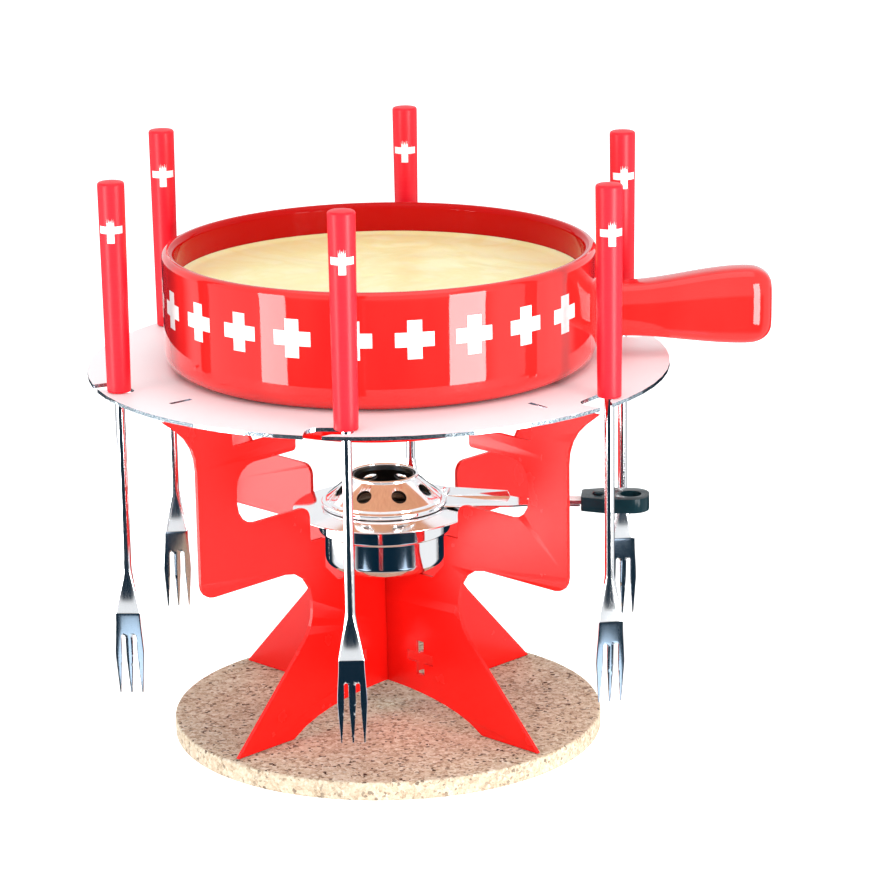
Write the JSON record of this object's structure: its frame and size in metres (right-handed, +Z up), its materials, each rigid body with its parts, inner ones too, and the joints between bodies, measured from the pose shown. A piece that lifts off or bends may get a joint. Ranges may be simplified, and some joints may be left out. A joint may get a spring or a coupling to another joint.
{
  "type": "fondue pot set",
  "caption": "Side-handled ceramic fondue pot on a slotted round plate and a crossed sheet-metal stand, with a spirit burner, hanging forks and a cork base.",
  "frame": {"origin": "centre of the cork base's underside, which rests on the table", "axes": "+Z up, -Y toward the front, +X toward the pot's side handle; the stand's arms lie at 45 degrees between X and Y"},
  "size_m": [0.3527, 0.3, 0.3076],
  "materials": {
    "cork": "pressed cork granules, matt",
    "red_paint": "satin red powder coat",
    "satin_steel": "fine brushed",
    "polished_steel": "mirror polished",
    "tank_steel": "plain rolled sheet",
    "fork_steel": "polished, lightly brushed",
    "red_glaze": "glossy red glaze",
    "cheese": "soft, slightly wet",
    "wadding": "loose fibre",
    "gauze": "woven wire, heat tinted",
    "black_plastic": "moulded, semi-matt",
    "red_handle": "satin red"
  },
  "bodies": {
    "base": {"cork_base": "cork"},
    "stand": {"stand_plate_a": "red_paint", "stand_plate_b": "red_paint"},
    "top_plate": {"top_plate": "satin_steel"},
    "pot": {"pot": "red_glaze", "cheese_fill": "cheese"},
    "burner": {"burner_cup": "polished_steel", "fuel_tank": "tank_steel", "absorbent_pad": "wadding", "wire_gauze": "gauze", "drip_plate": "polished_steel", "air_sleeve": "tank_steel"},
    "regulator": {"regulator_cone": "polished_steel", "regulator_strap": "polished_steel", "regulator_tang": "satin_steel", "regulator_grip": "black_plastic", "grip_rivet": "black_plastic"},
    "fork_1": {"fork_1_handle": "red_handle", "fork_1_blade": "fork_steel"},
    "fork_2": {"fork_2_handle": "red_handle", "fork_2_blade": "fork_steel"},
    "fork_3": {"fork_3_handle": "red_handle", "fork_3_blade": "fork_steel"},
    "fork_4": {"fork_4_handle": "red_handle", "fork_4_blade": "fork_steel"},
    "fork_5": {"fork_5_handle": "red_handle", "fork_5_blade": "fork_steel"},
    "fork_6": {"fork_6_handle": "red_handle", "fork_6_blade": "fork_steel"}
  },
  "joints": [
    {"name": "stand_lift", "type": "slide", "parent": "base", "child": "stand", "axis": [0, 0, 1], "range_m": [0, 0.06]},
    {"name": "top_plate_lift", "type": "slide", "parent": "stand", "child": "top_plate", "axis": [0, 0, 1], "range_m": [0, 0.17]},
    {"name": "pot_lift", "type": "slide", "parent": "top_plate", "child": "pot", "axis": [0, 0, 1], "range_m": [0, 0.14]},
    {"name": "burner_lift", "type": "slide", "parent": "stand", "child": "burner", "axis": [0, 0, 1], "range_m": [0, 0.036]},
    {"name": "regulator_turn", "type": "hinge", "parent": "burner", "child": "regulator", "pos_m": [0, 0, 0.1294], "axis": [0, 0, 1], "range_deg": [-22.5, 22.5]},
    {"name": "fork_1_swing", "type": "hinge", "parent": "top_plate", "child": "fork_1", "pos_m": [-0.01817, -0.1533, 0.2006], "axis": [0, 0, 1], "range_deg": [0, 100]},
    {"name": "fork_2_swing", "type": "hinge", "parent": "top_plate", "child": "fork_2", "pos_m": [0.12497, -0.09502, 0.2006], "axis": [0, 0, 1], "range_deg": [0, 100]},
    {"name": "fork_3_swing", "type": "hinge", "parent": "top_plate", "child": "fork_3", "pos_m": [0.14244, 0.06076, 0.2006], "axis": [0, 0, 1], "range_deg": [0, 100]},
    {"name": "fork_4_swing", "type": "hinge", "parent": "top_plate", "child": "fork_4", "pos_m": [0.01627, 0.15377, 0.2006], "axis": [0, 0, 1], "range_deg": [0, 100]},
    {"name": "fork_5_swing", "type": "hinge", "parent": "top_plate", "child": "fork_5", "pos_m": [-0.12737, 0.09102, 0.2006], "axis": [0, 0, 1], "range_deg": [0, 100]},
    {"name": "fork_6_swing", "type": "hinge", "parent": "top_plate", "child": "fork_6", "pos_m": [-0.14484, -0.06475, 0.2006], "axis": [0, 0, 1], "range_deg": [0, 100]}
  ]
}
